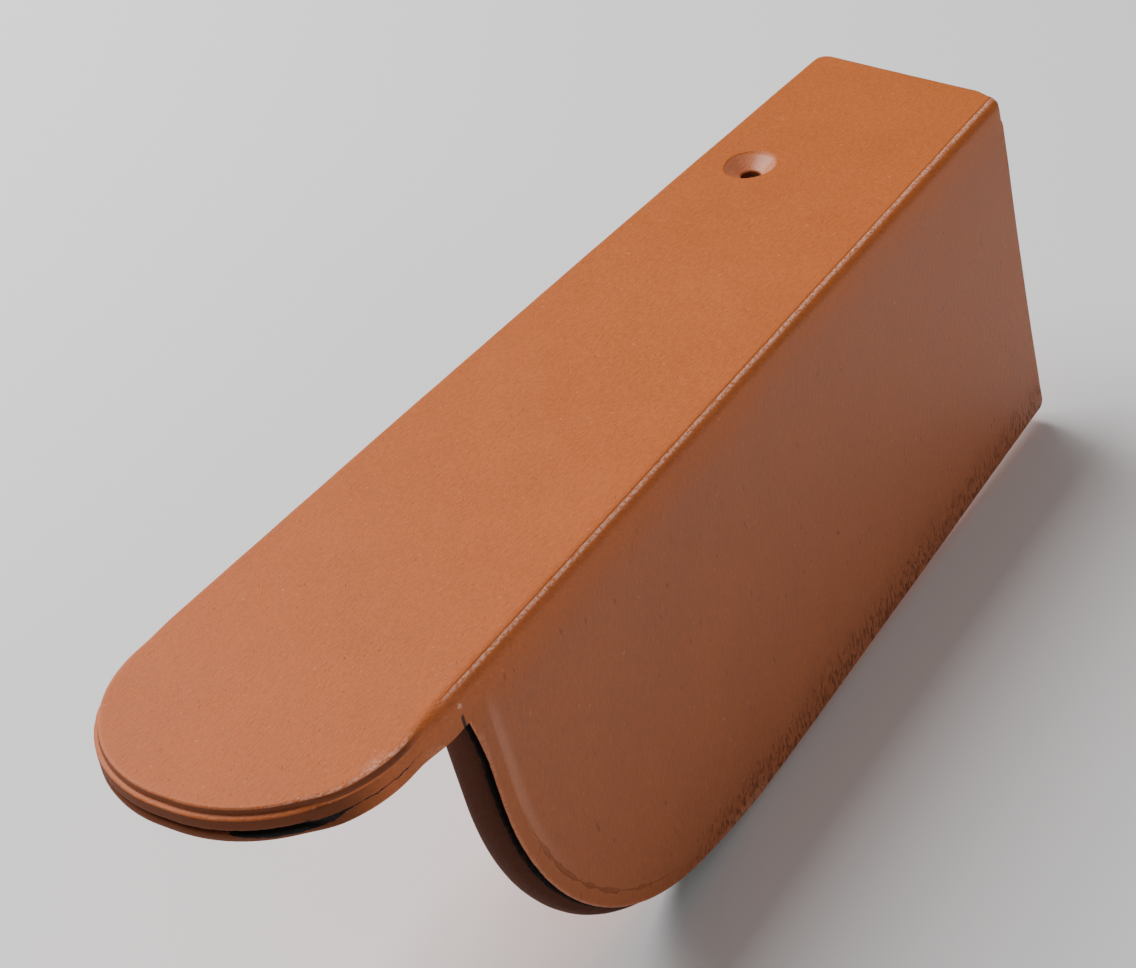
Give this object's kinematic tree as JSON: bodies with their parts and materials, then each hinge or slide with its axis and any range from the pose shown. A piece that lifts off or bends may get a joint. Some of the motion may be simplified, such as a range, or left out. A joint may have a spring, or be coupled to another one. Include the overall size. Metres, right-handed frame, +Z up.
{
  "type": "verge tile",
  "caption": "Right-hand half-width plain verge tile in fired clay: narrow roof plate with a round tail, deep side flange with a round nose, countersunk nail hole.",
  "frame": {"origin": "the point of the plate's underside that rests on the roofing batten, below the nib", "axes": "+Z up, out of the plate's weather face; +Y up the slope to the head; +X out to the flange at the gable"},
  "size_m": [0.0957, 0.3802, 0.1162],
  "materials": {
    "fired_clay": "satin red-brown slip over fired clay"
  },
  "bodies": {
    "root": {"verge_tile": "fired_clay"}
  },
  "joints": []
}
